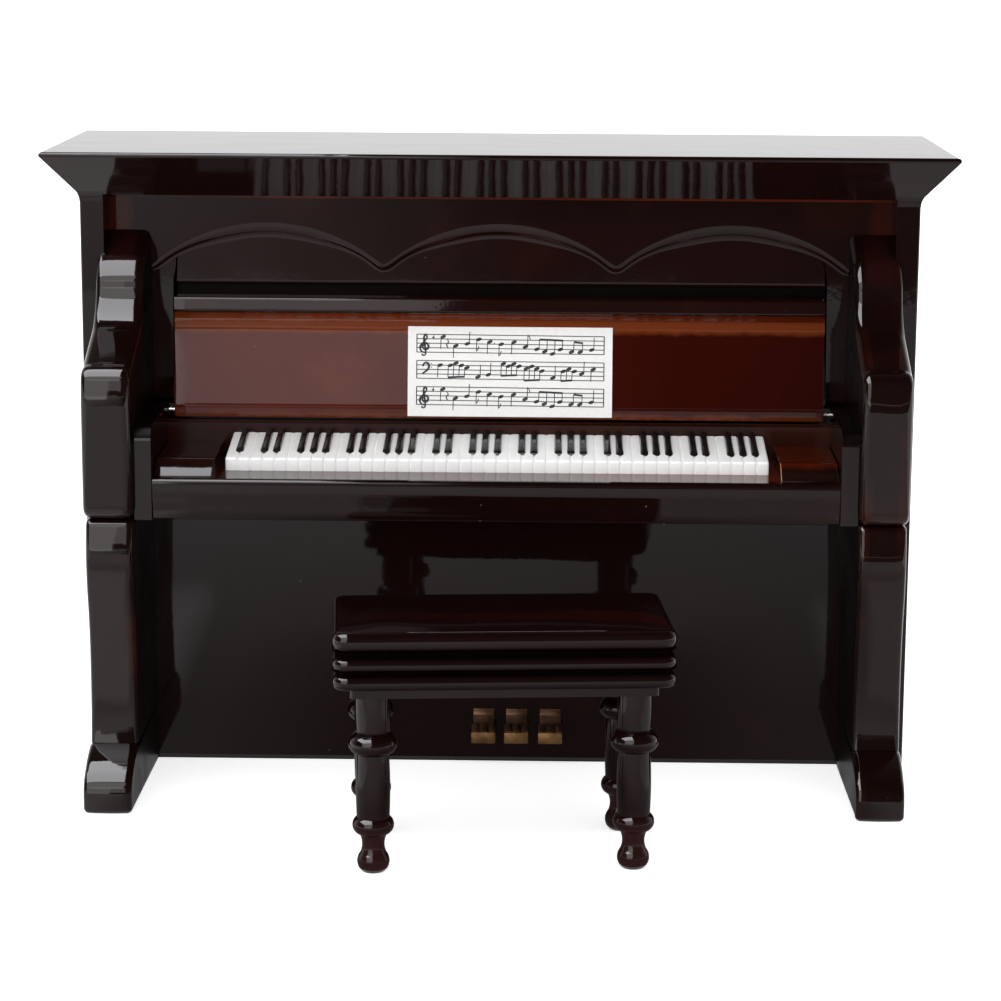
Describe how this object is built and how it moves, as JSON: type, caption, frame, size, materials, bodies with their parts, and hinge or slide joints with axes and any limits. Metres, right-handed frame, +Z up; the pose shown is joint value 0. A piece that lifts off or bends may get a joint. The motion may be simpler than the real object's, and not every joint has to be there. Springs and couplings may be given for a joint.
{
  "type": "miniature upright piano",
  "caption": "Dolls house upright piano with a hinged fallboard over a moulded keyboard, arched front, scrolled arms, flared cornice and a separate turned-leg stool.",
  "frame": {"origin": "on the floor under the middle of the piano's case, on the underside of its bottom board", "axes": "+Z up, +X to the player's right along the keyboard, -Y towards the player and the stool"},
  "size_m": [0.1548, 0.1039, 0.1086],
  "materials": {
    "case_lacquer": "gloss lacquer",
    "red_lacquer": "gloss lacquer",
    "stool_lacquer": "gloss lacquer",
    "key_white": "gloss",
    "key_black": "gloss",
    "pedal_brass": "dull",
    "pin_steel": "bright",
    "printed_paper": "matte"
  },
  "bodies": {
    "case": {"arch_valance": "case_lacquer", "arm_left": "case_lacquer", "arm_right": "case_lacquer", "back_panel": "case_lacquer", "black_keys": "key_black", "bottom_board": "case_lacquer", "cheek_left": "case_lacquer", "cheek_right": "case_lacquer", "key_block_left": "case_lacquer", "key_block_right": "case_lacquer", "key_slip": "case_lacquer", "keybed": "case_lacquer", "leg_left": "case_lacquer", "leg_right": "case_lacquer", "lower_front_panel": "case_lacquer", "nameboard": "case_lacquer", "pedal_left": "pedal_brass", "pedal_middle": "pedal_brass", "pedal_right": "pedal_brass", "side_panel_left": "case_lacquer", "side_panel_right": "case_lacquer", "toe_left": "case_lacquer", "toe_right": "case_lacquer", "top_cornice": "case_lacquer", "upper_front_panel": "case_lacquer", "white_key_strip": "key_white"},
    "fallboard": {"fallboard": "red_lacquer", "fallboard_lip": "case_lacquer", "music_sheet": "printed_paper", "pivot_pin_left": "pin_steel", "pivot_pin_right": "pin_steel"},
    "stool": {"stool_apron": "stool_lacquer", "stool_leg_back_left": "stool_lacquer", "stool_leg_back_right": "stool_lacquer", "stool_leg_front_left": "stool_lacquer", "stool_leg_front_right": "stool_lacquer", "stool_seat_lower": "stool_lacquer", "stool_seat_middle": "stool_lacquer", "stool_seat_top": "stool_lacquer"}
  },
  "joints": [
    {"name": "fallboard_hinge", "type": "hinge", "parent": "case", "child": "fallboard", "pos_m": [0, -0.0175, 0.0632], "axis": [1, 0, 0], "range_deg": [0, 98]},
    {"name": "stool_slide", "type": "slide", "parent": "case", "child": "stool", "axis": [0, 1, 0], "range_m": [-0.04, 0.026]}
  ]
}
